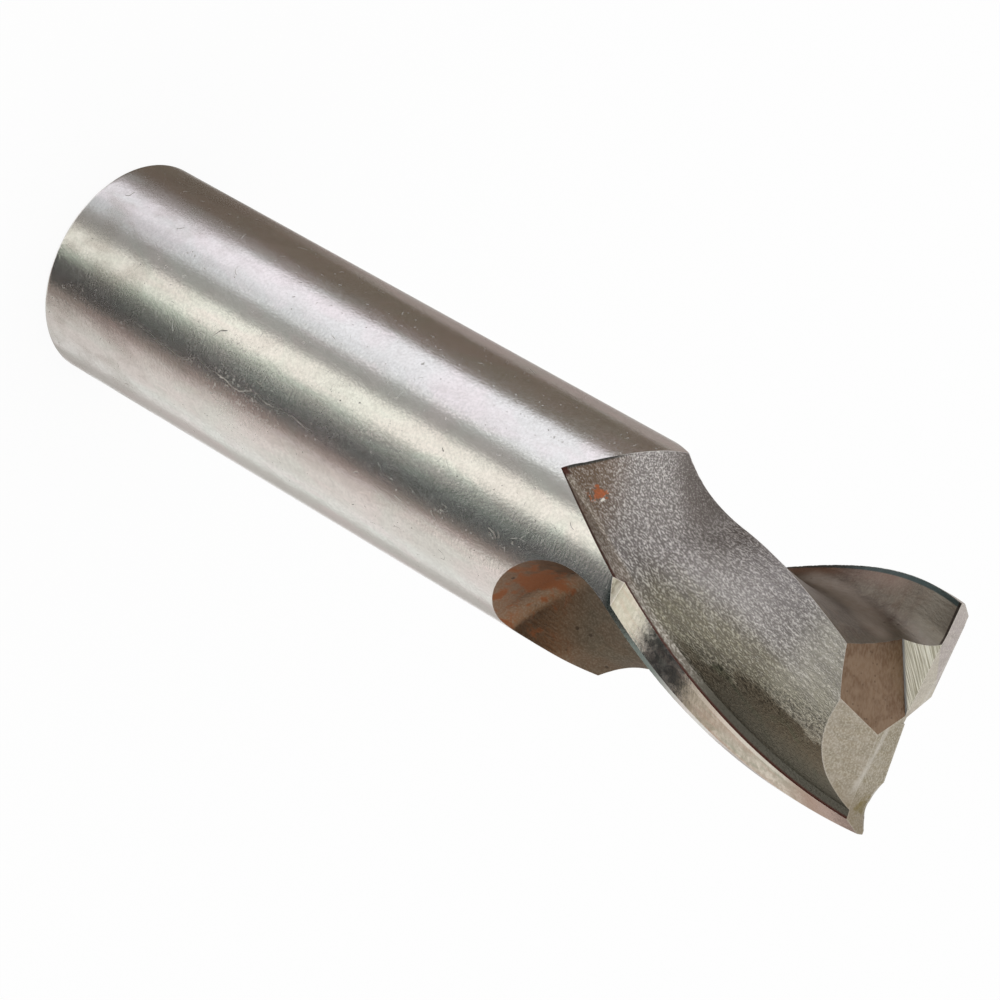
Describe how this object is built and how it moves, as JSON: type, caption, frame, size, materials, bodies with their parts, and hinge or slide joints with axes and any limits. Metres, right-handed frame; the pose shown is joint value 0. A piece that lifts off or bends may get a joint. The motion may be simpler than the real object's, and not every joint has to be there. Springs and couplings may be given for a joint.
{
  "type": "end mill",
  "caption": "Centre-cutting end mill with short helical flutes ground into a bar whose plain round shank has the same diameter as the teeth.",
  "frame": {"origin": "centre of the shank's flat end, on the tool's axis", "axes": "+Z along the axis from the shank end to the cutting end; +X along the first tooth's end edge; the tool cuts turning from +X towards +Y"},
  "size_m": [0.02, 0.02, 0.09],
  "materials": {
    "tool_steel": "ground high-speed steel, worn, with spots of rust in the flutes"
  },
  "bodies": {
    "root": {"endmill": "tool_steel"}
  },
  "joints": []
}
